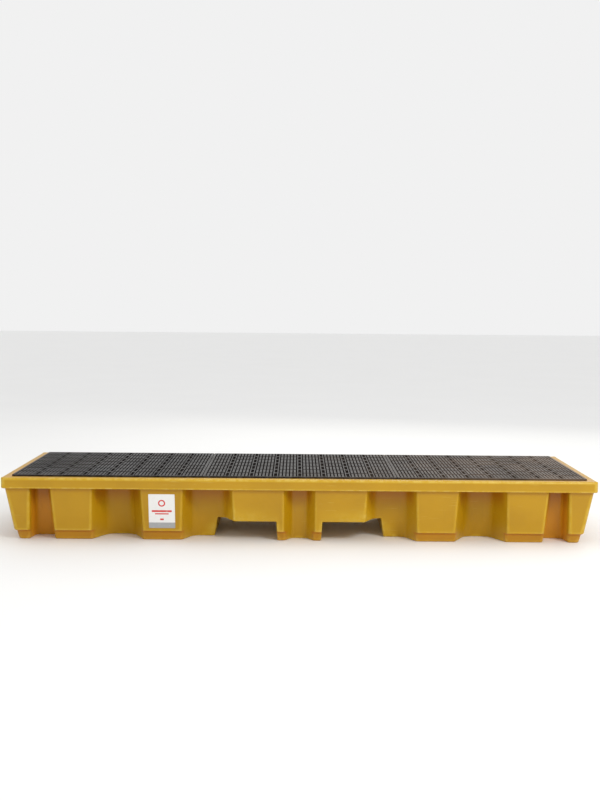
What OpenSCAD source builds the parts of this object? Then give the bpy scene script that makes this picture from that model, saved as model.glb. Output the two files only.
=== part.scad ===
// Low spill containment pallet for four drums in a row: a moulded sump with leaning, fluted
// walls and two fork pockets, three lift-out grates in its rim, and columns that carry them.
// Millimetres. +X runs along the length, the labelled front faces -Y and the feet stand on z = 0.

/* [Sump] */
// Length over the rim
length = 2490; // [2050:10:3000]
// Width over the rim, front to back
width = 750; // [620:5:900]
// Height of the rim's top above the ground
height = 270; // [220:1:330]
// Thickness of the moulded wall
wall = 6.5; // [5:0.5:8]
// Plan radius of the rim's corners
rim_corner = 16; // [10:1:36]
// Height of the upright band around the rim
rim_band = 46; // [30:1:60]
// Width of the rim's flat top
rim_width = 38; // [30:1:50]
// How far the band stands out over the wall below it
rim_overhang = 12; // [6:1:20]
// Width of the ledge inside the rim that the grates lie on
seat_ledge = 18; // [10:1:26]
// How far the walls lean in towards the ground, in degrees
wall_lean = 9.2; // [4:0.2:11]
// Height of the feet
foot_height = 38; // [25:1:50]
// How far the feet step in under the wall
foot_step = 8; // [4:1:14]
// How far the sides of the feet lean in, in degrees
foot_lean = 12; // [4:1:15]

/* [Flutes] */
// Width of the flute in the middle of the long sides
middle_flute = 134; // [100:2:160]
// Depth of the middle flute under the rim
middle_depth = 57; // [40:1:70]
// Width of the pillar between the middle flute and the pocket flute
inner_pillar = 215; // [170:1:240]
// Width of the flute that the fork pocket opens into
pocket_flute = 208; // [170:1:230]
// Depth of the pocket flute under the rim
pocket_depth = 77; // [55:1:90]
// Width of the wide flute
wide_flute = 205; // [170:1:220]
// Depth of the wide flute under the rim
wide_depth = 100; // [70:1:110]
// Width of the narrow flute beside the corner
narrow_flute = 84; // [70:1:100]
// Depth of the narrow flute under the rim
narrow_depth = 75; // [50:1:90]
// Width of the corner pillar
corner_pillar = 106; // [80:1:120]
// Width of each of the two flutes in an end wall
end_flute = 134; // [100:2:150]
// Width of the pillar between the end flutes
end_pillar = 150; // [110:2:180]
// Depth of the end flutes under the rim
end_depth = 70; // [40:1:80]
// How far the backs of the deep flutes lean in, in degrees
flute_lean = 14; // [12:0.5:15]

/* [Fork pockets] */
// Distance between the two pockets at their roofs
pocket_gap = 194; // [170:2:240]
// Width of a pocket at its roof
pocket_width = 253; // [200:1:270]
// Height of a pocket's roof above the ground
pocket_height = 85; // [70:1:110]
// How far a pocket's outer side leans out, in degrees
pocket_outer_lean = 9; // [2:1:12]
// How far a pocket's inner side leans out, in degrees
pocket_inner_lean = 3; // [1:1:5]

/* [Deck] */
// Length of the middle grate
middle_grate = 816; // [700:2:900]
// Gap between neighbouring grates
grate_gap = 3; // [2:0.5:8]
// Gap between the grates and the rim
edge_gap = 2; // [1:0.5:5]
// Height that the grates stand out above the rim
deck_proud = 7; // [2:1:12]
// Thickness of the slotted top of a grate
plate = 10; // [6:1:14]
// Thickness of the ribs under the slotted top
rib = 8; // [4:0.5:10]
// Wanted size of one square panel of slots
panel = 98; // [70:1:130]
// Slots across one panel
slots = 6; // [3:1:8]
// Width of a slot
slot_width = 5; // [4:0.5:8]
// Width of the groove between panels
groove_width = 12; // [4:1:14]
// Depth of the groove between panels
groove_depth = 7; // [2:0.5:8]
// Length of the solid end of a slot or groove, next to a panel's corner
bridge = 8; // [5:0.5:14]

/* [Columns] */
// Outside diameter of a support column
column_d = 90; // [70:1:100]
// Wall of a support column
column_wall = 5.5; // [4:0.5:8]
// Width of the drain notches in a column's foot
notch_width = 22; // [12:1:30]
// Height of the drain notches
notch_height = 14; // [10:1:25]
// Height of the raised disc that holds a column in place
boss_height = 9; // [5:1:12]
// Clearance around the raised disc
boss_clearance = 1; // [0.5:0.25:3]

/* [Label] */
// Width of the label
label_width = 110; // [60:1:130]
// Height of the label along the wall
label_height = 150; // [100:1:160]
// Distance from the band down to the label
label_drop = 22; // [10:1:25]
// Thickness of the label
label_thickness = 0.5; // [0.3:0.1:1]

/* [Hidden] */
$fn = 48;
sump_yellow = [0.79, 0.62, 0.16];
deck_black = [0.12, 0.12, 0.13];
column_grey = [0.22, 0.22, 0.23];
label_white = [0.93, 0.93, 0.92];
rest_gap = 0.3; // between a grate and what it lies on
past = 1; // how far a cut runs past the face it opens
flute_flank = 28; // lean of a wide flute's sides, in degrees
middle_flank = 33;
narrow_flank = 8;
narrow_draft = 2.6; // the narrow flute widens by this angle towards the ground
end_flank = 24;
flute_round = 45; // radius in the back corners of the wide flutes
middle_round = 20;
narrow_round = 18;
outside = 80; // how far the flute cutters reach out in front of the wall
arc_steps = 6; // flats in the rounded corner of a flute

half_l = length / 2;
half_w = width / 2;
band_z = height - rim_band; // underside of the band, and roof of the flutes
seat_z = band_z + wall; // top of the ledge that the grates lie on
top_l = half_l - rim_overhang; // half sizes of the wall just under the band
top_w = half_w - rim_overhang;
foot_in = (band_z - foot_height) * tan(wall_lean) + foot_step; // foot's inset at its top

// Layout along the long sides, measured from the middle
pocket_flute_x = middle_flute / 2 + inner_pillar + pocket_flute / 2;
narrow_flute_x = top_l - corner_pillar - narrow_flute / 2;
free_length = narrow_flute_x - narrow_flute / 2 - pocket_flute_x - pocket_flute / 2 - wide_flute;
outer_pillar = free_length / 2;
wide_flute_x = pocket_flute_x + pocket_flute / 2 + outer_pillar + wide_flute / 2;
end_flute_y = (end_pillar + end_flute) / 2;

// Grates
deck_z = height + deck_proud;
grate_z = seat_z + rest_gap;
deck_half_l = half_l - rim_width - edge_gap;
deck_depth = width - 2 * (rim_width + edge_gap);
joint_x = (middle_grate + grate_gap) / 2;
side_grate = deck_half_l - joint_x - grate_gap / 2;

// Columns stand on the floor clear of the fork pockets and reach under both grates at a
// joint. Where a pocket lies too far under the joint, the column stands on a pedestal
// that is as high as the pocket's tunnel.
pocket_foot = pocket_gap / 2 + pocket_width + pocket_height * tan(pocket_outer_lean) + wall;
clear_column_x = max(joint_x, pocket_foot + column_wall + column_d / 2);
column_reach = column_d / 2 - column_wall - grate_gap / 2;
on_floor = clear_column_x - joint_x <= column_reach;
joint_column_x = on_floor ? clear_column_x : joint_x;
joint_foot_z = on_floor ? wall : pocket_height + wall;
side_column_x = joint_x + side_grate / 2;
boss_d = column_d - 2 * (column_wall + boss_clearance);
label_x = -(pocket_flute_x + pocket_flute / 2 + outer_pillar / 2);

// A block whose four sides lean in towards the ground. l and w are its half sizes at z_ref.
module leaning_block(l, w, z_low, z_high, z_ref, lean) {
    in_low = (z_ref - z_low) * tan(lean);
    in_high = (z_ref - z_high) * tan(lean);
    intersection() {
        rotate([90, 0, 0])
            linear_extrude(2 * w + 200, center = true)
                polygon([[-l + in_low, z_low], [l - in_low, z_low],
                         [l - in_high, z_high], [-l + in_high, z_high]]);
        rotate([90, 0, 90])
            linear_extrude(2 * l + 200, center = true)
                polygon([[-w + in_low, z_low], [w - in_low, z_low],
                         [w - in_high, z_high], [-w + in_high, z_high]]);
    }
}

// A rectangle with round corners, given by its half sizes
module round_rect(l, w, r) {
    square([2 * l, 2 * (w - r)], center = true);
    square([2 * (l - r), 2 * w], center = true);
    for (x = [-1, 1], y = [-1, 1])
        translate([x * (l - r), y * (w - r)])
            circle(r);
}

// A slab of the rim's outline, inset from the rim's edge
module rim_slab(inset, z_low, z_high) {
    translate([0, 0, z_low])
        linear_extrude(z_high - z_low)
            round_rect(half_l - inset, half_w - inset, max(rim_corner - inset, 3));
}

// Points along an arc, between two angles in degrees
function arc(x, y, r, from, to) =
    [for (i = [0 : arc_steps])
        let (a = from + (to - from) * i / arc_steps) [x + r * cos(a), y + r * sin(a)]];

// Plan of a flute: a mouth on y = 0 that narrows to a flat back with round corners.
// grow widens it on every side, which gives the inside of the wall around it.
module flute_plan(mouth, depth, flank, r, grow) {
    half_mouth = mouth / 2 + grow / cos(flank);
    back_y = depth + grow;
    half_back = half_mouth - back_y * tan(flank);
    radius = r + grow;
    corner_x = half_back - radius / tan((90 + flank) / 2);
    corner_y = back_y - radius;
    out_x = half_mouth + outside * tan(flank);
    polygon(concat([[-out_x, -outside], [out_x, -outside]],
                   arc(corner_x, corner_y, radius, flank, 90),
                   arc(-corner_x, corner_y, radius, 90, 180 - flank)));
}

// A flute in the front wall, leaning in as it goes down, with a level roof under the band
module flute(mouth, depth, flank, r, lean, grow) {
    intersection() {
        translate([0, -top_w, band_z])
            rotate([lean, 0, 0])
                translate([0, 0, -height * 1.5])
                    linear_extrude(height * 2)
                        flute_plan(mouth, depth * cos(lean), flank, r, grow);
        translate([-mouth, -top_w - outside, -past])
            cube([2 * mouth, outside + 3 * depth + top_w, band_z + grow + past]);
    }
}

// The narrow flute's upright sides draw in towards its roof
module narrow_flute_form(grow) {
    half_top = narrow_flute / 2 + grow / cos(narrow_draft);
    spread = (band_z + past) * tan(narrow_draft);
    top_z = band_z + grow;
    half_roof = half_top - grow * tan(narrow_draft);
    full = narrow_flute + 2 * spread;
    intersection() {
        flute(full, narrow_depth, narrow_flank, narrow_round, flute_lean, grow);
        rotate([90, 0, 0])
            linear_extrude(width + 2 * outside, center = true)
                polygon([[-half_top - spread, -past], [half_top + spread, -past],
                         [half_roof, top_z], [-half_roof, top_z]]);
    }
}

// Every flute of the front wall
module front_flutes(grow) {
    flute(middle_flute, middle_depth, middle_flank, middle_round, wall_lean, grow);
    for (side = [-1, 1]) {
        translate([side * pocket_flute_x, 0, 0])
            flute(pocket_flute, pocket_depth, flute_flank, flute_round, flute_lean, grow);
        translate([side * wide_flute_x, 0, 0])
            flute(wide_flute, wide_depth, flute_flank, flute_round, flute_lean, grow);
        translate([side * narrow_flute_x, 0, 0])
            narrow_flute_form(grow);
    }
}

// The two flutes of the left end wall
module end_flutes(grow) {
    for (side = [-1, 1])
        translate([-top_l + top_w, side * end_flute_y, 0])
            rotate([0, 0, -90])
                flute(end_flute, end_depth, end_flank, middle_round, flute_lean, grow);
}

module all_flutes(grow) {
    for (turn = [0, 180])
        rotate([0, 0, turn]) {
            front_flutes(grow);
            end_flutes(grow);
        }
}

// The two fork pockets run from front to back and are open to the ground
module fork_pockets(grow) {
    roof = pocket_height + grow;
    inner = pocket_gap / 2 - grow / cos(pocket_inner_lean);
    outer = pocket_gap / 2 + pocket_width + grow / cos(pocket_outer_lean);
    for (side = [0, 1])
        mirror([side, 0, 0])
            rotate([90, 0, 0])
                linear_extrude(width + 2 * past, center = true)
                    polygon([[inner - (pocket_height + past) * tan(pocket_inner_lean), -past],
                             [outer + (pocket_height + past) * tan(pocket_outer_lean), -past],
                             [outer - grow * tan(pocket_outer_lean), roof],
                             [inner + grow * tan(pocket_inner_lean), roof]]);
}

// The walls' outer form, from the feet up to the band
module outer_body() {
    leaning_block(top_l, top_w, foot_height, band_z, band_z, wall_lean);
    leaning_block(half_l - rim_overhang - foot_in, half_w - rim_overhang - foot_in,
                  0, foot_height, foot_height, foot_lean);
}

// The space inside the walls, before the flutes and pockets stand into it
module inner_body() {
    side = wall / cos(wall_lean);
    foot_side = wall / cos(foot_lean);
    leaning_block(top_l - side, top_w - side, foot_height + wall, seat_z, band_z, wall_lean);
    leaning_block(half_l - rim_overhang - foot_in - foot_side,
                  half_w - rim_overhang - foot_in - foot_side,
                  wall, foot_height + wall, foot_height, foot_lean);
    rim_slab(wall, seat_z, height - wall);
    rim_slab(rim_width, seat_z, height + past);
}

// The rim's turned-down inner lip and the ledge at its foot
module rim_lip() {
    difference() {
        rim_slab(rim_width - wall, band_z, height);
        rim_slab(rim_width, seat_z, height + past);
        rim_slab(rim_width + seat_ledge, band_z - past, height + past);
    }
}

// Raised seats that hold the feet of the columns
module column_seats() {
    for (x = [-side_column_x, 0, side_column_x])
        translate([x, 0, wall])
            cylinder(h = boss_height, d = boss_d);
    for (x = [-joint_column_x, joint_column_x])
        translate([x, 0, joint_foot_z])
            cylinder(h = boss_height, d = boss_d);
}

// Pedestals under the columns at the joints, where these don't stand on the floor
module column_pedestals() {
    if (!on_floor)
        for (x = [-joint_column_x, joint_column_x])
            translate([x, 0, 0])
                cylinder(h = joint_foot_z, d = column_d + 2 * boss_clearance);
}

module sump() {
    color(sump_yellow)
        difference() {
            union() {
                outer_body();
                rim_slab(0, band_z, height);
            }
            all_flutes(0);
            fork_pockets(0);
            difference() {
                inner_body();
                all_flutes(wall);
                fork_pockets(wall);
                rim_lip();
                column_seats();
                column_pedestals();
            }
        }
}

// A grate from x_low, size long, with its underside on the ledge: a slotted top in square
// panels, grooves between the panels that stop short of the panels' corners, and a rib
// under every groove
module grate(x_low, size) {
    across = max(round(size / panel), 1);
    along = max(round(deck_depth / panel), 1);
    panel_x = size / across;
    panel_y = deck_depth / along;
    slot_pitch = (panel_x - groove_width) / slots;
    first_slot = (groove_width + slot_pitch - slot_width) / 2;
    color(deck_black)
        translate([x_low, -deck_depth / 2, 0])
            difference() {
                translate([0, 0, grate_z])
                    cube([size, deck_depth, deck_z - grate_z]);
                translate([0, 0, grate_z - past])
                    linear_extrude(deck_z - plate - grate_z + past)
                        for (i = [0 : across - 1], j = [0 : along - 1])
                            translate([i * panel_x + rib / 2, j * panel_y + rib / 2])
                                square([panel_x - rib, panel_y - rib]);
                translate([0, 0, deck_z - plate - past])
                    linear_extrude(plate + 2 * past)
                        for (i = [0 : across - 1], j = [0 : along - 1], k = [0 : slots - 1])
                            translate([i * panel_x + first_slot + k * slot_pitch,
                                       j * panel_y + bridge])
                                square([slot_width, panel_y - 2 * bridge]);
                translate([0, 0, deck_z - groove_depth])
                    linear_extrude(groove_depth + past) {
                        for (i = [1 : across - 1], j = [0 : along - 1])
                            translate([i * panel_x - groove_width / 2, j * panel_y + bridge])
                                square([groove_width, panel_y - 2 * bridge]);
                        for (i = [0 : across - 1], j = [1 : along - 1])
                            translate([i * panel_x + first_slot, j * panel_y - groove_width / 2])
                                square([panel_x - 2 * first_slot, groove_width]);
                    }
            }
}

module grate_left() {
    grate(-deck_half_l, side_grate);
}

module grate_middle() {
    grate(-middle_grate / 2, middle_grate);
}

module grate_right() {
    grate(deck_half_l - side_grate, side_grate);
}

// An open tube from its foot up to the grates, which stands over a raised disc in the sump
// and is notched so it can drain
module column(x, foot_z) {
    color(column_grey)
        translate([x, 0, foot_z])
            difference() {
                cylinder(h = seat_z - foot_z, d = column_d);
                translate([0, 0, -past])
                    cylinder(h = seat_z + 2 * past, d = column_d - 2 * column_wall);
                for (turn = [0, 90])
                    rotate([0, 0, turn])
                        translate([-column_d, -notch_width / 2, -past])
                            cube([2 * column_d, notch_width, notch_height + past]);
            }
}

module column_1() {
    column(-side_column_x, wall);
}

module column_2() {
    column(-joint_column_x, joint_foot_z);
}

module column_3() {
    column(0, wall);
}

module column_4() {
    column(joint_column_x, joint_foot_z);
}

module column_5() {
    column(side_column_x, wall);
}

// A printed label stuck on the leaning front face of a pillar
module label() {
    color(label_white)
        translate([label_x, -top_w, band_z])
            rotate([wall_lean, 0, 0])
                translate([-label_width / 2, -label_thickness, -label_drop - label_height])
                    cube([label_width, label_thickness, label_height]);
}

sump();
grate_left();
grate_middle();
grate_right();
column_1();
column_2();
column_3();
column_4();
column_5();
label();
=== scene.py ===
from math import cos, pi, radians, sin, tan

import bmesh
import bpy
from mathutils import Euler, Matrix, Vector


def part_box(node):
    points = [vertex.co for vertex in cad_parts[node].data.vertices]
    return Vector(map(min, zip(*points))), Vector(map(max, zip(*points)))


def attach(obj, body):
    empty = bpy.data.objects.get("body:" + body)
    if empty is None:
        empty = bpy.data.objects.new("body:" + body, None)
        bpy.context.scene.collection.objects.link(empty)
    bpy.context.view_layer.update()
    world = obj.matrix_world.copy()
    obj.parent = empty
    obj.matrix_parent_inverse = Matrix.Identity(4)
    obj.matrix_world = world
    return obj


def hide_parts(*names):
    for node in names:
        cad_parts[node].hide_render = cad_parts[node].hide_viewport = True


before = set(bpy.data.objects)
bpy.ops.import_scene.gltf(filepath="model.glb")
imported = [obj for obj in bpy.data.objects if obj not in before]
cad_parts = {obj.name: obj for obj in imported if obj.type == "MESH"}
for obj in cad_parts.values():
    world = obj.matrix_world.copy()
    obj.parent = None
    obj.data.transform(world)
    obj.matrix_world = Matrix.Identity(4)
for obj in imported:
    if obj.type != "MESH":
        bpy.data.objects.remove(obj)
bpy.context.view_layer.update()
scene = bpy.context.scene

# ---------------------------------------------------------------- Camera and room
# The camera stands a little over a metre off the floor, square to the labelled front, and
# looks slightly down. The pallet sits low in the view, which leaves room above its deck.
eye = Vector((-0.014, -4.730, 1.004))
heading, pitch, roll = 0.0028, 0.0917, 0.0086
camera = bpy.data.objects.new("camera", bpy.data.cameras.new("camera"))
camera.data.lens = 47.7
camera.data.sensor_width = 36
turn = Euler((0, 0, -heading)).to_matrix() @ Euler((pi / 2 - pitch, 0, 0)).to_matrix()
turn = turn @ Euler((0, 0, roll)).to_matrix()
camera.matrix_world = Matrix.Translation(eye) @ turn.to_4x4()
scene.collection.objects.link(camera)
scene.camera = camera
scene.view_settings.view_transform = "Standard"

# A pale, evenly lit studio: a near-white surround, a wide key light in front and to the
# right, a softer one overhead, and a long one behind that shines along the rim and deck.
world = bpy.data.worlds.new("studio")
world.use_nodes = True
world.node_tree.nodes["Background"].inputs["Color"].default_value = (1.0, 1.0, 1.0, 1)
world.node_tree.nodes["Background"].inputs["Strength"].default_value = 0.88
scene.world = world


def soft_light(name, place, aim, size, power, tint):
    lamp = bpy.data.lights.new(name, "AREA")
    lamp.shape = "RECTANGLE"
    lamp.size, lamp.size_y = size
    lamp.energy = power
    lamp.color = tint
    holder = bpy.data.objects.new(name, lamp)
    holder.location = place
    holder.rotation_euler = (Vector(aim) - Vector(place)).to_track_quat("-Z", "Y").to_euler()
    holder.visible_camera = False
    scene.collection.objects.link(holder)


soft_light("key", (2.3, -3.1, 2.9), (0.1, 0, 0.1), (1.2, 0.9), 72, (1.0, 0.98, 0.94))
soft_light("overhead", (0.0, -0.2, 3.2), (0, 0, 0), (3.2, 1.6), 12, (1, 1, 1))
soft_light("back", (1.2, 3.4, 2.0), (0.3, 0, 0.2), (4.4, 0.8), 22, (1.0, 0.99, 0.92))

floor_mesh = bpy.data.meshes.new("floor")
bm = bmesh.new()
bmesh.ops.create_grid(bm, x_segments=8, y_segments=8, size=30)
bm.to_mesh(floor_mesh)
bm.free()
floor = bpy.data.objects.new("floor", floor_mesh)
scene.collection.objects.link(floor)
floor_finish = bpy.data.materials.new("pale_floor")
floor_finish.use_nodes = True
nodes, links = floor_finish.node_tree.nodes, floor_finish.node_tree.links
shader = nodes["Principled BSDF"]
shader.inputs["Roughness"].default_value = 0.7
place = nodes.new("ShaderNodeTexCoord")
cloud = nodes.new("ShaderNodeTexNoise")
cloud.inputs["Scale"].default_value = 1.4
tone = nodes.new("ShaderNodeMix")
tone.data_type = "RGBA"
tone.inputs["A"].default_value = (0.87, 0.87, 0.865, 1)
tone.inputs["B"].default_value = (0.90, 0.90, 0.895, 1)
links.new(place.outputs["Object"], cloud.inputs["Vector"])
links.new(cloud.outputs["Fac"], tone.inputs["Factor"])
links.new(tone.outputs["Result"], shader.inputs["Base Color"])
floor.data.materials.append(floor_finish)

# ---------------------------------------------------------------- Sump
# One tub of yellow polyethylene, moulded in one shot: floor, feet, leaning fluted walls, two
# fork tunnels and a hollow rim that turns down inside into a ledge for the deck. Every edge
# is soft, because the skin is cast against a mould and stays even in thickness.
sump_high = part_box("sump")[1]
half_l, half_w, rim_z = sump_high.x, sump_high.y, sump_high.z
skin = 0.0062
overhang = 0.012
rim_width = 0.038
ledge = 0.018
band_z = rim_z - 0.046
seat_z = band_z + 0.0065
foot_z, foot_step, step_run = 0.038, 0.008, 0.009
wall_lean, foot_lean, flute_lean = radians(9.2), radians(12), radians(14)
pillar_round = 0.012
corner_round = 0.018
top_l, top_w = half_l - overhang, half_w - overhang
# Along the front only the corner lies past beyond_flutes; tiny is the slack for telling
# where a face or an edge lies
beyond_flutes, tiny = 1.2, 1e-4

pocket_in, pocket_out, pocket_z = 0.097, 0.350, 0.085
pocket_in_lean, pocket_out_lean = radians(3), radians(9)

# Flutes of the front: place along the wall, mouth, depth, lean of the sides, radius at the
# back, lean of the back, and how much the mouth widens towards the ground
middle_flute = (0.0, 0.134, 0.057, radians(33), 0.022, wall_lean, 0.0)
pocket_flute = (0.386, 0.208, 0.077, radians(28), 0.046, flute_lean, 0.0)
wide_flute = (0.767, 0.205, 0.100, radians(28), 0.052, flute_lean, 0.0)
narrow_flute = (1.085, 0.084, 0.075, radians(8), 0.022, flute_lean, radians(2.6))
end_flute = (0.142, 0.134, 0.070, radians(24), 0.026, flute_lean, 0.0)


def face_inset(z):
    """How far a pillar's face stands in from the top of the wall, with a soft step at the foot"""
    upper = (band_z - z) * tan(wall_lean)
    lower = (band_z - foot_z) * tan(wall_lean) + foot_step + (foot_z - z) * tan(foot_lean)
    share = min(max((foot_z + step_run / 2 - z) / step_run, 0), 1)
    share = share * share * (3 - 2 * share)
    return upper + (lower - upper) * share


def flute_corners(flute, z):
    """The flute's four corners at height z, as distance along the wall, inset and radius"""
    centre, mouth, depth, flank, back_round, lean, draft = flute
    shift = (band_z - z) * tan(lean)
    face = face_inset(z)
    slope = tan(flank) * cos(lean)
    half_mouth = mouth / 2 + (band_z - z) * tan(draft) - (face - shift) * slope
    half_back = mouth / 2 + (band_z - z) * tan(draft) - depth * slope
    back = shift + depth
    return [(centre - half_mouth, face, pillar_round), (centre - half_back, back, back_round),
            (centre + half_back, back, back_round), (centre + half_mouth, face, pillar_round)]


def rounded(corners, steps, support=0.005):
    """Replaces each corner that has a radius by an arc, with a point just beyond the arc on
    each side that is a flat face; returns one list of points for each corner"""
    out = []
    for i, (x, y, radius) in enumerate(corners):
        corner = Vector((x, y))
        if radius == 0:
            out.append([corner])
            continue
        back = (Vector(corners[i - 1][:2]) - corner).normalized()
        on = (Vector(corners[i + 1][:2]) - corner).normalized()
        half = back.angle(on) / 2
        centre = corner + (back + on).normalized() * (radius / sin(half))
        first = corner + back * (radius / tan(half)) - centre
        last = corner + on * (radius / tan(half)) - centre
        arc = [first.normalized().slerp(last.normalized(), k / steps) for k in range(steps + 1)]
        points = [centre + radius * p for p in arc]
        if min(abs(back.x), abs(back.y)) < 1e-6:
            points.insert(0, points[0] + back * support)
        if min(abs(on.x), abs(on.y)) < 1e-6:
            points.append(points[-1] + on * support)
        out.append(points)
    return out


def quarter_outline(z):
    """The wall's outline at height z, from the middle of the front round to the middle of
    the right end, as one list of points for each corner"""
    front = []
    middle = flute_corners(middle_flute, z)
    front += [(0, middle[2][1], 0), middle[2], middle[3]]
    drop = max(pocket_z - z, 0)
    front.append((pocket_in - drop * tan(pocket_in_lean), face_inset(z), 0))
    for flute in (pocket_flute, wide_flute, narrow_flute):
        front += flute_corners(flute, z)
    corners = [(x, -(top_w - inset), radius) for x, inset, radius in front]
    corners.append((top_l - face_inset(z), -(top_w - face_inset(z)), corner_round))
    corners += [(top_l - inset, -along, radius)
                for along, inset, radius in reversed(flute_corners(end_flute, z))]
    corners.append((top_l - face_inset(z), 0, 0))
    points = rounded(corners, 6)
    # the pocket's outer edge is the last point of the pocket flute's first back corner
    points[5].pop()
    points[5][-1] = Vector((pocket_out + drop * tan(pocket_out_lean), corners[5][1]))
    return points


def rim_outline(inset, radius):
    """The same points carried out to the rim, whose plan is a plain rectangle"""
    points = quarter_outline(band_z)
    corner = next(i for i, c in enumerate(points) if c[0].x > beyond_flutes)
    steps = len(points[corner]) - 3
    out = []
    for i, group in enumerate(points):
        if i < corner:
            out.append([Vector((p.x, -(half_w - inset))) for p in group])
        elif i > corner:
            out.append([Vector((half_l - inset, p.y)) for p in group])
        else:
            centre = Vector((half_l - inset - radius, -(half_w - inset - radius)))
            arc = [centre + radius * Vector((sin(a), -cos(a)))
                   for a in (k / steps * pi / 2 for k in range(steps + 1))]
            out.append([arc[0] - Vector((0.005, 0))] + arc + [arc[-1] + Vector((0, 0.005))])
    return out


def flat(groups):
    """The points of all corners in one list"""
    return [p for group in groups for p in group]


# Heights of the wall's rings: six close together over the soft step at the foot
step_low, step_rings = foot_z - step_run / 2, 6
heights = [0, 0.016, step_low]
heights += [step_low + step_run * k / step_rings for k in range(1, step_rings + 1)]
heights += [0.050, pocket_z, 0.150, band_z - 0.009, band_z]
levels = [(quarter_outline(z), z) for z in heights]
# Rings of the rim: inset from its edge, corner radius, height
levels += [(rim_outline(inset, radius), z) for inset, radius, z in (
    (0.005, 0.011, band_z), (0, 0.016, band_z), (0, 0.016, band_z + 0.007),
    (0, 0.016, rim_z - 0.013), (0, 0.016, rim_z), (0.012, 0.004, rim_z),
    (rim_width - 0.008, 0.018, rim_z), (rim_width, 0.010, rim_z), (rim_width, 0.010, seat_z),
    (rim_width + ledge, 0.006, seat_z))]

# The skin grows ring by ring; each point remembers its place in the ring
bm = bmesh.new()
order = bm.verts.layers.int.new("order")
first = flat(levels[0][0])
ring = [bm.verts.new((p.x, p.y, 0)) for p in first]
for i, v in enumerate(ring):
    v[order] = i
edges = [bm.edges.new(pair) for pair in zip(ring, ring[1:])]
for groups, z in levels[1:]:
    points = flat(groups)
    grown = bmesh.ops.extrude_edge_only(bm, edges=edges)["geom"]
    fresh = {g for g in grown if isinstance(g, bmesh.types.BMVert)}
    for v in fresh:
        v.co = (*points[v[order]], z)
    edges = [g for g in grown if isinstance(g, bmesh.types.BMEdge)
             and g.verts[0] in fresh and g.verts[1] in fresh]

# The fork pocket: the wall is left out below its roof, and the edge of the gap runs straight
# back to the middle of the pallet as the tunnel's sides and roof
groups = levels[0][0]
first_place = sum(len(g) for g in groups[:3])
last_place = sum(len(g) for g in groups[:6]) - 1


def in_pocket(part, low=first_place, high=last_place):
    """Whether a face or edge lies in the opening of the fork pocket"""
    return all(low <= v[order] <= high and v.co.z < pocket_z + 1e-5 for v in part.verts)


gap = [f for f in bm.faces if in_pocket(f)]
bmesh.ops.delete(bm, geom=gap, context="FACES")
mouth = [e for e in bm.edges if e.is_boundary and in_pocket(e)]
grown = bmesh.ops.extrude_edge_only(bm, edges=mouth)["geom"]
for v in grown:
    if isinstance(v, bmesh.types.BMVert):
        v.co.y = 0

# The quarter is mirrored to a whole tub, and its floor is filled in round the fork pockets
for axis in ("X", "Y"):
    everything = bm.verts[:] + bm.edges[:] + bm.faces[:]
    bmesh.ops.mirror(bm, geom=everything, matrix=Matrix.Identity(4), merge_dist=1e-5, axis=axis)
ground = [e for e in bm.edges if e.is_boundary and max(v.co.z for v in e.verts) < 1e-5]
bmesh.ops.edgeloop_fill(bm, edges=ground)
bmesh.ops.remove_doubles(bm, verts=bm.verts[:], dist=1e-5)
bmesh.ops.recalc_face_normals(bm, faces=bm.faces[:])


def soften(test, radius, segments):
    """Rounds the sharp edges that pass the test"""
    sharp = [e for e in bm.edges if len(e.link_faces) == 2
             and e.calc_face_angle(0) > radians(40) and all(test(v.co) for v in e.verts)]
    bmesh.ops.bevel(bm, geom=sharp, offset=radius, offset_type="OFFSET", segments=segments,
                    profile=0.5, affect="EDGES", material=-1, clamp_overlap=False)


def near(a, b):
    return abs(a - b) < tiny


def on_wall(p, inset):
    """Whether a point lies further in than the inset, measured from the rim's outer edge"""
    return abs(p.x) < half_l - inset - tiny and abs(p.y) < half_w - inset - tiny


# Feet and fork pockets, then the rim from its underside up, over and down to the ledge
soften(lambda p: p.z < pocket_z + tiny, 0.005, 3)
soften(lambda p: near(p.z, band_z) and on_wall(p, 0), 0.004, 2)
soften(lambda p: near(p.z, band_z) and not on_wall(p, 0), 0.003, 2)
soften(lambda p: near(p.z, rim_z) and not on_wall(p, 0), 0.009, 4)
soften(lambda p: near(p.z, rim_z) and not on_wall(p, rim_width), 0.005, 3)
soften(lambda p: near(p.z, seat_z) and not on_wall(p, rim_width), 0.003, 2)
for f in bm.faces:
    f.smooth = True
sump_mesh = bpy.data.meshes.new("sump_tub")
bm.to_mesh(sump_mesh)
bm.free()
sump_tub = bpy.data.objects.new("sump_tub", sump_mesh)
scene.collection.objects.link(sump_tub)
shell = sump_tub.modifiers.new("skin", "SOLIDIFY")
shell.thickness = skin
shell.offset = -1
shell.use_even_offset = True
shell.use_quality_normals = True
even = sump_tub.modifiers.new("even_shading", "WEIGHTED_NORMAL")
even.keep_sharp = True
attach(sump_tub, "sump")
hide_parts("sump")

# Each shared effect below is a node group: moulded grain, wear and a painted highlight on edges,
# scuffs, a tint that darkens towards the floor, and how far a place is set back in a flute

def new_group(name, inputs, outputs):
    """An empty group with these sockets, and its input and output nodes"""
    group = bpy.data.node_groups.new(name, "ShaderNodeTree")
    for label, kind, value in inputs:
        socket = group.interface.new_socket(label, in_out="INPUT", socket_type=kind)
        if value is not None:
            socket.default_value = value
    for label, kind in outputs:
        group.interface.new_socket(label, in_out="OUTPUT", socket_type=kind)
    return group, group.nodes.new("NodeGroupInput"), group.nodes.new("NodeGroupOutput")


def math_node(tree, operation, first, second, clamp=False):
    node = tree.nodes.new("ShaderNodeMath")
    node.operation = operation
    node.use_clamp = clamp
    for socket, value in zip(node.inputs, (first, second)):
        if isinstance(value, (int, float)):
            socket.default_value = value
        else:
            tree.links.new(value, socket)
    return node.outputs[0]


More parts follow.
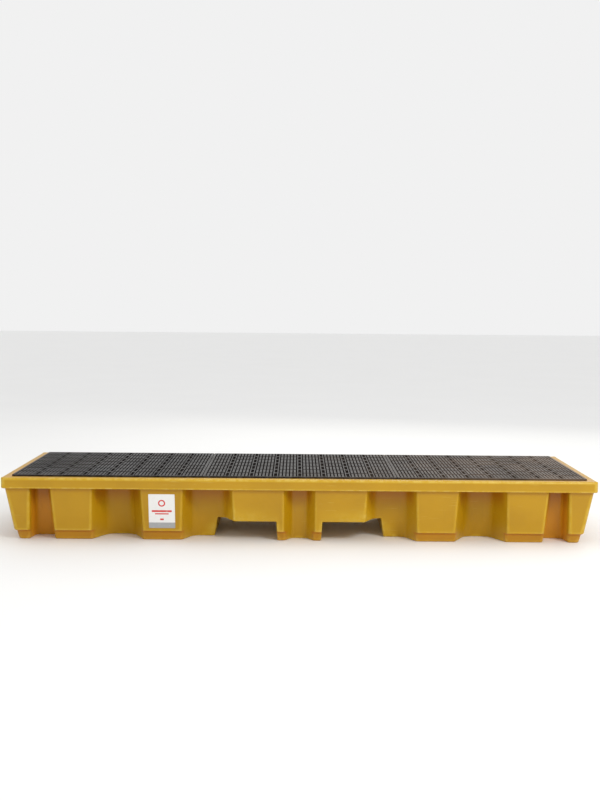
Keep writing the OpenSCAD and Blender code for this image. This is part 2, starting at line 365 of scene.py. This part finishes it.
def noise_node(tree, vector, scale, detail, rough=0.5):
    node = tree.nodes.new("ShaderNodeTexNoise")
    tree.links.new(vector, node.inputs["Vector"])
    if isinstance(scale, (int, float)):
        node.inputs["Scale"].default_value = scale
    else:
        tree.links.new(scale, node.inputs["Scale"])
    node.inputs["Detail"].default_value = detail
    node.inputs["Roughness"].default_value = rough
    return node.outputs["Fac"]


def range_node(tree, value, low, high, out_low=0.0, out_high=1.0):
    """A soft rise or fall from out_low to out_high as the value goes from low to high"""
    node = tree.nodes.new("ShaderNodeMapRange")
    node.interpolation_type = "SMOOTHSTEP"
    tree.links.new(value, node.inputs["Value"])
    for label, number in (("From Min", low), ("From Max", high),
                          ("To Min", out_low), ("To Max", out_high)):
        node.inputs[label].default_value = number
    return node.outputs["Result"]


def mix_node(tree, factor, first, second):
    node = tree.nodes.new("ShaderNodeMix")
    node.data_type = "RGBA"
    for socket, value in ((node.inputs["Factor"], factor), (node.inputs["A"], first),
                          (node.inputs["B"], second)):
        if isinstance(value, (int, float, tuple)):
            socket.default_value = value
        else:
            tree.links.new(value, socket)
    return node.outputs["Result"]


# Grain: a fine pebble over a slow orange peel, as height, and a slow cloud for colour
grain, group_in, group_out = new_group(
    "moulded_grain",
    [("Vector", "NodeSocketVector", None), ("Fine Scale", "NodeSocketFloat", 900.0),
     ("Slow Scale", "NodeSocketFloat", 45.0)],
    [("Height", "NodeSocketFloat"), ("Cloud", "NodeSocketFloat")])
fine = noise_node(grain, group_in.outputs["Vector"], group_in.outputs["Fine Scale"], 2.0)
slow = noise_node(grain, group_in.outputs["Vector"], group_in.outputs["Slow Scale"], 1.0)
height = math_node(grain, "ADD", math_node(grain, "MULTIPLY", fine, 0.35),
                   math_node(grain, "MULTIPLY", slow, 0.65))
grain.links.new(height, group_out.inputs["Height"])
cloud = noise_node(grain, group_in.outputs["Vector"], 5.0, 4.0)
grain.links.new(cloud, group_out.inputs["Cloud"])

# Wear and painted highlight: rubbed patches on edges that stand out, broken up by noise, and a
# painted highlight along the rounded edges themselves
wear_and_highlight, group_in, group_out = new_group(
    "edge_wear_and_highlight",
    [("Vector", "NodeSocketVector", None), ("Amount", "NodeSocketFloat", 0.5)],
    [("Mask", "NodeSocketFloat"), ("Painted Highlight", "NodeSocketFloat")])
geometry = wear_and_highlight.nodes.new("ShaderNodeNewGeometry")
edge = range_node(wear_and_highlight, geometry.outputs["Pointiness"], 0.506, 0.535)
patches = noise_node(wear_and_highlight, group_in.outputs["Vector"], 38.0, 5.0, 0.65)
patches = range_node(wear_and_highlight, patches, 0.40, 0.66)
mask = math_node(wear_and_highlight, "MULTIPLY", math_node(wear_and_highlight, "MULTIPLY", edge, patches),
                 group_in.outputs["Amount"], clamp=True)
wear_and_highlight.links.new(mask, group_out.inputs["Mask"])
# Painted highlight: a soft light line along every rounded edge, where light catches the rounding
wear_and_highlight.links.new(range_node(wear_and_highlight, geometry.outputs["Pointiness"], 0.501, 0.520),
               group_out.inputs["Painted Highlight"])

# Scuffs: thin dull scratches that run along the length, in a few worn places
scuff, group_in, group_out = new_group(
    "scuffs", [("Vector", "NodeSocketVector", None)], [("Mask", "NodeSocketFloat")])
stretch = scuff.nodes.new("ShaderNodeMapping")
stretch.inputs["Scale"].default_value = (9.0, 30.0, 260.0)
stretch.inputs["Rotation"].default_value = (0.0, 0.12, 0.0)
scuff.links.new(group_in.outputs["Vector"], stretch.inputs["Vector"])
lines = range_node(scuff, noise_node(scuff, stretch.outputs["Vector"], 1.0, 2.0), 0.66, 0.74)
where = range_node(scuff, noise_node(scuff, group_in.outputs["Vector"], 3.1, 2.0), 0.50, 0.66)
scuff.links.new(math_node(scuff, "MULTIPLY", lines, where), group_out.inputs["Mask"])

# Darker towards the floor: a brownish, rougher tint in blots that fades out upwards
low_tint, group_in, group_out = new_group(
    "floor_low_tint", [("Vector", "NodeSocketVector", None), ("Top", "NodeSocketFloat", 0.05)],
    [("Mask", "NodeSocketFloat")])
split = low_tint.nodes.new("ShaderNodeSeparateXYZ")
low_tint.links.new(group_in.outputs["Vector"], split.inputs["Vector"])
share = math_node(low_tint, "DIVIDE", split.outputs["Z"], group_in.outputs["Top"])
low_fade = math_node(low_tint, "SUBTRACT", 1.0, share, clamp=True)
blots = range_node(low_tint, noise_node(low_tint, group_in.outputs["Vector"], 16.0, 5.0), 0.35, 0.75)
low_tint.links.new(math_node(low_tint, "MULTIPLY", low_fade, blots), group_out.inputs["Mask"])

# Set-back: how far a point of the wall lies behind the leaning plane of the pillars' faces,
# its distance from the middle along the length, and its height
set_back, group_in, group_out = new_group(
    "set_back", [("Vector", "NodeSocketVector", None)],
    [("Depth", "NodeSocketFloat"), ("Along", "NodeSocketFloat"), ("Height", "NodeSocketFloat")])
split = set_back.nodes.new("ShaderNodeSeparateXYZ")
set_back.links.new(group_in.outputs["Vector"], split.inputs["Vector"])
along = math_node(set_back, "ABSOLUTE", split.outputs["X"], 0)
aside = math_node(set_back, "ABSOLUTE", split.outputs["Y"], 0)
drop = math_node(set_back, "SUBTRACT", band_z, split.outputs["Z"])
lean_in = math_node(set_back, "MULTIPLY", drop, tan(wall_lean))
end_face = math_node(set_back, "SUBTRACT", top_l, lean_in)
front_face = math_node(set_back, "SUBTRACT", top_w, lean_in)
behind = math_node(set_back, "MINIMUM", math_node(set_back, "SUBTRACT", end_face, along),
                   math_node(set_back, "SUBTRACT", front_face, aside))
set_back.links.new(behind, group_out.inputs["Depth"])
set_back.links.new(along, group_out.inputs["Along"])
set_back.links.new(split.outputs["Z"], group_out.inputs["Height"])


def use_group(tree, group, vector, **values):
    node = tree.nodes.new("ShaderNodeGroup")
    node.node_tree = group
    tree.links.new(vector, node.inputs["Vector"])
    for label, value in values.items():
        node.inputs[label.replace("_", " ")].default_value = value
    return node


def new_material(name):
    material = bpy.data.materials.new(name)
    material.use_nodes = True
    tree = material.node_tree
    place = tree.nodes.new("ShaderNodeTexCoord").outputs["Object"]
    return material, tree, tree.nodes["Principled BSDF"], place


def add_bump(tree, shader, height, strength, distance):
    bump = tree.nodes.new("ShaderNodeBump")
    bump.inputs["Strength"].default_value = strength
    bump.inputs["Distance"].default_value = distance
    tree.links.new(height, bump.inputs["Height"])
    tree.links.new(bump.outputs["Normal"], shader.inputs["Normal"])


dull_yellow, clear_yellow = (0.425, 0.226, 0.0018, 1), (0.475, 0.257, 0.0026, 1)
# The first colour on the next line is a painted highlight for the rounded edges
highlight_yellow, worn_yellow = (0.64, 0.405, 0.013, 1), (0.68, 0.52, 0.12, 1)
# The brown on the next line darkens the wall towards the floor
scratched_yellow, low_tint_brown = (0.62, 0.46, 0.10, 1), (0.17, 0.10, 0.035, 1)
# Painted shade for the feet, and a painted orange bounce light for the flutes at each end
foot_shade_orange, bounce_orange = (0.42, 0.125, 0.003, 1), (0.66, 0.26, 0.014, 1)
# Painted shade under the rim
shade_orange = (0.34, 0.106, 0.002, 1)
yellow, tree, shader, place = new_material("yellow_polyethylene")
shader.inputs["Specular IOR Level"].default_value = 0.38
grain_node = use_group(tree, grain, place, Fine_Scale=700.0, Slow_Scale=55.0)
wear_and_highlight_node = use_group(tree, wear_and_highlight, place, Amount=0.55)
scuff_node = use_group(tree, scuff, place)
low_tint_node = use_group(tree, low_tint, place, Top=0.075)
tint = range_node(tree, grain_node.outputs["Cloud"], 0.3, 0.7)
colour = mix_node(tree, tint, dull_yellow, clear_yellow)
# Painted highlight: the rounded edges are lightened towards a paler yellow
edge_highlight = math_node(tree, "MULTIPLY", wear_and_highlight_node.outputs["Painted Highlight"], 0.45)
colour = mix_node(tree, edge_highlight, colour, highlight_yellow)
colour = mix_node(tree, wear_and_highlight_node.outputs["Mask"], colour, worn_yellow)
pale = math_node(tree, "MULTIPLY", scuff_node.outputs["Mask"], 0.55)
colour = mix_node(tree, pale, colour, scratched_yellow)
back_node = use_group(tree, set_back, place)
depth, height = back_node.outputs["Depth"], back_node.outputs["Height"]
deep = math_node(tree, "MULTIPLY", range_node(tree, depth, 0.008, 0.040),
                 range_node(tree, depth, 0.11, 0.14, 1.0, 0.0))
# Painted shade with an orange floor bounce on the feet, and a painted orange bounce light deep in
# the flutes at each end
foot = math_node(tree, "MULTIPLY", range_node(tree, height, 0.028, 0.036, 0.38, 0.75),
                 range_node(tree, height, 0.038, 0.044, 1.0, 0.0))
foot = math_node(tree, "MULTIPLY", foot, range_node(tree, depth, 0.012, 0.035, 1.0, 0.0))
colour = mix_node(tree, foot, colour, foot_shade_orange)
end_bounce = math_node(tree, "MULTIPLY", deep,
                     range_node(tree, back_node.outputs["Along"], 1.02, 1.05, 0.0, 0.60))
colour = mix_node(tree, end_bounce, colour, bounce_orange)
# Painted shade under the rim: a thin dark orange line along the wall, and a long fade down the
# flutes
rim_shadow_line = range_node(tree, height, 0.200, 0.222, 0.0, 0.25)
flute_shade = math_node(tree, "MULTIPLY", deep,
                       range_node(tree, height, 0.12, band_z, 0.0, 0.85))
under_rim_shade = math_node(tree, "MAXIMUM", rim_shadow_line, flute_shade)
under_rim_shade = math_node(tree, "MULTIPLY", under_rim_shade,
                      range_node(tree, height, band_z, band_z + 0.003, 1.0, 0.0))
colour = mix_node(tree, under_rim_shade, colour, shade_orange)
# Darker and browner towards the floor
low_fade = math_node(tree, "MULTIPLY", low_tint_node.outputs["Mask"], 0.12)
colour = mix_node(tree, low_fade, colour, low_tint_brown)
tree.links.new(colour, shader.inputs["Base Color"])
rough = math_node(tree, "ADD",
                  range_node(tree, grain_node.outputs["Cloud"], 0.3, 0.7, 0.33, 0.41),
                  math_node(tree, "MULTIPLY", scuff_node.outputs["Mask"], 0.18))
rough = math_node(tree, "ADD", rough,
                  math_node(tree, "MULTIPLY", low_tint_node.outputs["Mask"], 0.25))
tree.links.new(rough, shader.inputs["Roughness"])
add_bump(tree, shader, grain_node.outputs["Height"], 0.55, 0.0014)
sump_mesh.materials.append(yellow)

# The raised discs on the floor that hold the feet of the columns: moulded with the tub
column_x = (-0.8065, -0.42046, 0.0, 0.42046, 0.8065)
floor_top = skin
seat_foot, seat_top, seat_height, seat_middle = 0.0385, 0.0380, 0.0095, 0.0045
bm = bmesh.new()
for x in column_x:
    centre = Matrix.Translation((x, 0, floor_top + seat_middle))
    made = bmesh.ops.create_cone(bm, cap_ends=True, cap_tris=False, segments=48,
                                 radius1=seat_foot, radius2=seat_top, depth=seat_height,
                                 matrix=centre)
    fresh = set(made["verts"])
    top = [e for e in bm.edges
           if all(v in fresh and v.co.z > floor_top + seat_middle for v in e.verts)]
    bmesh.ops.bevel(bm, geom=top, offset=0.002, offset_type="OFFSET", segments=3, profile=0.5,
                    affect="EDGES", material=-1)
bmesh.ops.recalc_face_normals(bm, faces=bm.faces[:])
for f in bm.faces:
    f.smooth = abs(f.normal.z) < 0.99
seat_mesh = bpy.data.meshes.new("column_seats")
bm.to_mesh(seat_mesh)
bm.free()
seat_mesh.materials.append(yellow)
column_seats = bpy.data.objects.new("column_seats", seat_mesh)
scene.collection.objects.link(column_seats)
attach(column_seats, "sump")

# ---------------------------------------------------------------- Columns
# Five lengths of extruded grey pipe that stand on the sump's floor under the middle of the
# deck. Each is sawn square and notched at the foot, so that liquid can run through it.
column_radius, column_wall, column_steps = 0.045, 0.0055, 64
notch_z, notch_half = 0.014, 0.0100
foot_level = floor_top + 0.0003
pipe, tree, shader, place = new_material("extruded_pipe")
grain_node = use_group(tree, grain, place, Fine_Scale=1200.0, Slow_Scale=30.0)
wear_and_highlight_node = use_group(tree, wear_and_highlight, place, Amount=0.6)
drawn = tree.nodes.new("ShaderNodeMapping")
drawn.inputs["Scale"].default_value = (420.0, 420.0, 3.0)
tree.links.new(place, drawn.inputs["Vector"])
streaks = noise_node(tree, drawn.outputs["Vector"], 1.0, 2.0)
colour = mix_node(tree, streaks, (0.030, 0.031, 0.034, 1), (0.052, 0.053, 0.056, 1))
colour = mix_node(tree, wear_and_highlight_node.outputs["Mask"], colour, (0.14, 0.14, 0.14, 1))
tree.links.new(colour, shader.inputs["Base Color"])
tree.links.new(range_node(tree, streaks, 0.2, 0.8, 0.34, 0.50), shader.inputs["Roughness"])
drawn_height = math_node(tree, "ADD", streaks, grain_node.outputs["Height"])
add_bump(tree, shader, drawn_height, 0.3, 0.0003)
for number, x in enumerate(column_x, 1):
    bm = bmesh.new()
    half_step = Matrix.Rotation(pi / column_steps, 4, "Z")
    bmesh.ops.create_circle(bm, cap_ends=False, segments=column_steps, radius=column_radius,
                            matrix=Matrix.Translation((x, 0, foot_level)) @ half_step)
    edges = bm.edges[:]
    for z in (foot_level + notch_z, seat_z - 0.0004):
        grown = bmesh.ops.extrude_edge_only(bm, edges=edges)["geom"]
        fresh = [g for g in grown if isinstance(g, bmesh.types.BMVert)]
        for v in fresh:
            v.co.z = z
        edges = [g for g in grown if isinstance(g, bmesh.types.BMEdge)
                 and g.verts[0] in fresh and g.verts[1] in fresh]
    notch = []
    for f in bm.faces:
        middle = f.calc_center_median() - Vector((x, 0, 0))
        across = min(abs(middle.x), abs(middle.y))
        if middle.z < foot_level + notch_z and across < notch_half:
            notch.append(f)
    bmesh.ops.delete(bm, geom=notch, context="FACES")
    bmesh.ops.recalc_face_normals(bm, faces=bm.faces[:])
    if bm.faces[0].normal.dot(bm.faces[0].calc_center_median() - Vector((x, 0, 0.1))) < 0:
        bmesh.ops.reverse_faces(bm, faces=bm.faces[:])
    for f in bm.faces:
        f.smooth = True
    mesh = bpy.data.meshes.new("pipe_%d" % number)
    bm.to_mesh(mesh)
    bm.free()
    mesh.materials.append(pipe)
    column = bpy.data.objects.new("pipe_%d" % number, mesh)
    scene.collection.objects.link(column)
    tube = column.modifiers.new("tube_wall", "SOLIDIFY")
    tube.thickness = column_wall
    tube.offset = -1
    tube.use_even_offset = True
    ends = column.modifiers.new("sawn_ends", "BEVEL")
    ends.width, ends.segments = 0.0007, 2
    ends.limit_method, ends.angle_limit = "ANGLE", radians(40)
    ends.harden_normals = True
    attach(column, "sump")
    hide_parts("column_%d" % number)

# ---------------------------------------------------------------- Grates
# Three black moulded grates lie loose on the ledge inside the rim. Each is a slotted plate in
# square panels, with a groove round every panel that stops short of the panel's corners, and
# a deep rib below every groove. The top is slightly grained so that drums don't slide.
deck_z, grate_z, plate_t = 0.277, 0.2308, 0.010
rib_half, groove_half, groove_drop = 0.004, 0.006, 0.007
bridge, slot_w, slots, panel_size = 0.008, 0.005, 6, 0.098
deep_black, grey_black = (0.0085, 0.0088, 0.0105, 1), (0.0150, 0.0145, 0.0155, 1)
worn_grey, scratched_grey = (0.060, 0.058, 0.056, 1), (0.050, 0.046, 0.042, 1)
# The next colour is dust and, growing towards the right end, a painted light
dust_and_light_brown = (0.150, 0.108, 0.078, 1)
black, tree, shader, place = new_material("black_deck")
shader.inputs["Specular IOR Level"].default_value = 0.05
grain_node = use_group(tree, grain, place, Fine_Scale=1000.0, Slow_Scale=160.0)
wear_and_highlight_node = use_group(tree, wear_and_highlight, place, Amount=0.7)
scuff_node = use_group(tree, scuff, place)
tint = range_node(tree, grain_node.outputs["Cloud"], 0.3, 0.7)
colour = mix_node(tree, tint, deep_black, grey_black)
colour = mix_node(tree, wear_and_highlight_node.outputs["Mask"], colour, worn_grey)
colour = mix_node(tree, math_node(tree, "MULTIPLY", scuff_node.outputs["Mask"], 0.5), colour,
                  scratched_grey)
split = tree.nodes.new("ShaderNodeSeparateXYZ")
tree.links.new(place, split.inputs["Vector"])
# Brown dust in patches, with a painted light that grows towards the right end, where the deck is
# lit
light_to_right = range_node(tree, split.outputs["X"], -0.2, 1.2, 0.10, 0.90)
dust_and_light = math_node(tree, "MULTIPLY", light_to_right,
                 range_node(tree, noise_node(tree, place, 6.0, 5.0), 0.30, 0.70, 0.5, 1.0))
colour = mix_node(tree, dust_and_light, colour, dust_and_light_brown)
tree.links.new(colour, shader.inputs["Base Color"])
rough = math_node(tree, "ADD",
                  range_node(tree, grain_node.outputs["Cloud"], 0.3, 0.7, 0.30, 0.40),
                  math_node(tree, "MULTIPLY", scuff_node.outputs["Mask"], 0.2))
# The grooves aren't worn smooth as the top is
rough = math_node(tree, "MAXIMUM", rough,
                  range_node(tree, split.outputs["Z"], deck_z - 0.003, deck_z - 0.0012, 0.95, 0.0))
tree.links.new(rough, shader.inputs["Roughness"])
add_bump(tree, shader, grain_node.outputs["Height"], 0.30, 0.0005)


def grate_lines(low, size, count, cuts):
    """Places of the grid lines along one side: the cuts of every panel, and the two ends"""
    panel = size / count
    return [low + i * panel + c for i in range(count) for c in cuts(panel)] + [low + size]


def slot_cuts(panel):
    pitch = (panel - 2 * groove_half) / slots
    start = groove_half + (pitch - slot_w) / 2
    edges = [start + k * pitch + side for k in range(slots) for side in (0, slot_w)]
    return [0, rib_half, groove_half] + edges + [panel - groove_half, panel - rib_half]


def row_cuts(panel):
    return [0, rib_half, groove_half, bridge,
            panel - bridge, panel - groove_half, panel - rib_half]


# What each cell of a grate's grid is; rib is added where a rib is below it
solid, slot, groove, rib = 0, 1, 2, 10
for name in ("grate_left", "grate_middle", "grate_right"):
    low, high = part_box(name)
    size_x, size_y = high.x - low.x, high.y - low.y
    panels_x, panels_y = round(size_x / panel_size), round(size_y / panel_size)
    xs = grate_lines(low.x, size_x, panels_x, slot_cuts)
    ys = grate_lines(low.y, size_y, panels_y, row_cuts)
    per_x, per_y = len(slot_cuts(1)), len(row_cuts(1))
    bm = bmesh.new()
    cell = bm.faces.layers.int.new("cell")
    bmesh.ops.create_grid(bm, x_segments=len(xs) - 1, y_segments=len(ys) - 1, size=1)
    for v in bm.verts:
        i = round((v.co.x + 1) / 2 * (len(xs) - 1))
        j = round((v.co.y + 1) / 2 * (len(ys) - 1))
        v.co = (i, j, deck_z)
    for f in bm.faces:
        spot = f.calc_center_median()
        i, j = int(spot.x), int(spot.y)
        column, row = i % per_x, j % per_y
        on_rib = column in (0, per_x - 1) or row in (0, per_y - 1)
        x_line = column in (0, 1, per_x - 2, per_x - 1) and 1 < i < len(xs) - 3
        y_line = row in (0, 1, per_y - 2, per_y - 1) and 1 < j < len(ys) - 3
        kind = solid
        if row == 3 and column in range(3, per_x - 3, 2):
            kind = slot
        elif row == 3 and x_line or y_line and 3 <= column <= per_x - 4:
            kind = groove
        f[cell] = kind + (rib if on_rib else 0)
    for v in bm.verts:
        v.co = (xs[round(v.co.x)], ys[round(v.co.y)], deck_z)
    bmesh.ops.delete(bm, geom=[f for f in bm.faces if f[cell] % rib == slot], context="FACES")
    under = bmesh.ops.extrude_face_region(bm, geom=bm.faces[:], use_keep_orig=True)["geom"]
    for v in under:
        if isinstance(v, bmesh.types.BMVert):
            v.co.z = deck_z - plate_t
    bmesh.ops.recalc_face_normals(bm, faces=bm.faces[:])
    ribs = [f for f in bm.faces if f.normal.z < -0.9 and f[cell] >= rib]
    grown = bmesh.ops.extrude_face_region(bm, geom=ribs)["geom"]
    bmesh.ops.delete(bm, geom=ribs, context="FACES_ONLY")
    for v in grown:
        if isinstance(v, bmesh.types.BMVert):
            v.co.z = grate_z
    grooves = [f for f in bm.faces if f.normal.z > 0.9 and f[cell] % rib == groove]
    grown = bmesh.ops.extrude_face_region(bm, geom=grooves)["geom"]
    bmesh.ops.delete(bm, geom=grooves, context="FACES_ONLY")
    for v in grown:
        if isinstance(v, bmesh.types.BMVert):
            v.co.z = deck_z - groove_drop
    bmesh.ops.remove_doubles(bm, verts=bm.verts[:], dist=1e-6)
    bmesh.ops.recalc_face_normals(bm, faces=bm.faces[:])
    level = [e for e in bm.edges if len(e.link_faces) == 2 and e.calc_face_angle(0) < 0.01]
    bmesh.ops.dissolve_limit(bm, angle_limit=0.01, verts=bm.verts[:], edges=level)
    top = [e for e in bm.edges if len(e.link_faces) == 2 and e.calc_face_angle(0) > 1
           and all(v.co.z > deck_z - 1e-5 for v in e.verts)]
    bmesh.ops.bevel(bm, geom=top, offset=0.0009, offset_type="OFFSET", segments=2, profile=0.5,
                    affect="EDGES", material=-1)
    mesh = bpy.data.meshes.new(name + "_moulding")
    bm.to_mesh(mesh)
    bm.free()
    mesh.materials.append(black)
    grate = bpy.data.objects.new(name + "_moulding", mesh)
    scene.collection.objects.link(grate)
    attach(grate, name)
    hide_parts(name)

# ---------------------------------------------------------------- Label
# A coated paper label, stuck flat on the leaning face of the third pillar. It has a grey band
# along its foot and a plain ring over two plain bars, in place of any name or mark.
label_x, label_w, label_h, label_drop, label_t = -0.577, 0.110, 0.150, 0.022, 0.0005
clear_of_wall = 0.00015
bm = bmesh.new()
paper_uv = bm.loops.layers.uv.new("sheet")
bmesh.ops.create_grid(bm, x_segments=1, y_segments=1, size=0.5)
bmesh.ops.scale(bm, vec=(label_w, label_h, 1), verts=bm.verts[:])
bmesh.ops.bevel(bm, geom=bm.verts[:], offset=0.003, offset_type="OFFSET", segments=4, profile=0.5,
                affect="VERTICES", material=-1)
grown = bmesh.ops.extrude_face_region(bm, geom=bm.faces[:], use_keep_orig=True)["geom"]
bmesh.ops.translate(bm, vec=(0, 0, label_t),
                    verts=[v for v in grown if isinstance(v, bmesh.types.BMVert)])
bmesh.ops.recalc_face_normals(bm, faces=bm.faces[:])
for f in bm.faces:
    for loop in f.loops:
        loop[paper_uv].uv = (loop.vert.co.x / label_w + 0.5, loop.vert.co.y / label_h + 0.5)
lay = Matrix.Translation((label_x, -top_w, band_z)) @ Matrix.Rotation(wall_lean, 4, "X")
lay = lay @ Matrix.Translation((0, -clear_of_wall, -label_drop - label_h / 2))
lay = lay @ Matrix.Rotation(pi / 2, 4, "X")
bmesh.ops.transform(bm, matrix=lay, verts=bm.verts[:])
mesh = bpy.data.meshes.new("label_sheet")
bm.to_mesh(mesh)
bm.free()
sheet = bpy.data.objects.new("label_sheet", mesh)
scene.collection.objects.link(sheet)
paper, tree, shader, place = new_material("coated_paper")
where = tree.nodes.new("ShaderNodeUVMap")
where.uv_map = "sheet"
split = tree.nodes.new("ShaderNodeSeparateXYZ")
tree.links.new(where.outputs["UV"], split.inputs["Vector"])
across, up = split.outputs["X"], split.outputs["Y"]


def inside(value, low, high, soft=0.004):
    """1 where the value is between low and high, with a thin soft edge"""
    rise = range_node(tree, value, low - soft, low + soft)
    fall = range_node(tree, value, high - soft, high + soft, 1.0, 0.0)
    return math_node(tree, "MULTIPLY", rise, fall)


def distance_to(centre_x, centre_y):
    """Distance on the sheet, in metres, from a place given as shares of its width and height"""
    dx = math_node(tree, "MULTIPLY", math_node(tree, "SUBTRACT", across, centre_x), label_w)
    dy = math_node(tree, "MULTIPLY", math_node(tree, "SUBTRACT", up, centre_y), label_h)
    return math_node(tree, "SQRT", math_node(tree, "ADD", math_node(tree, "MULTIPLY", dx, dx),
                                             math_node(tree, "MULTIPLY", dy, dy)), 0)


ink = inside(distance_to(0.5, 0.735), 0.0095, 0.0150, 0.0003)
bars = ((0.12, 0.88, 0.475, 0.530), (0.24, 0.76, 0.405, 0.440), (0.43, 0.57, 0.235, 0.285))
for left, right, bottom, top in bars:
    bar = math_node(tree, "MULTIPLY", inside(across, left, right), inside(up, bottom, top))
    ink = math_node(tree, "MAXIMUM", ink, bar)
fibre = noise_node(tree, place, 260.0, 4.0)
colour = mix_node(tree, fibre, (0.78, 0.78, 0.77, 1), (0.84, 0.84, 0.83, 1))
colour = mix_node(tree, inside(up, -0.1, 0.165), colour, (0.36, 0.37, 0.38, 1))
colour = mix_node(tree, ink, colour, (0.62, 0.025, 0.020, 1))
rub = range_node(tree, noise_node(tree, place, 90.0, 5.0), 0.60, 0.72)
rub = math_node(tree, "MULTIPLY", rub, 0.3)
colour = mix_node(tree, rub, colour, (0.62, 0.60, 0.55, 1))
tree.links.new(colour, shader.inputs["Base Color"])
tree.links.new(range_node(tree, fibre, 0.3, 0.7, 0.30, 0.42), shader.inputs["Roughness"])
add_bump(tree, shader, fibre, 0.15, 0.0002)
mesh.materials.append(paper)
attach(sheet, "sump")
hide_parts("label")
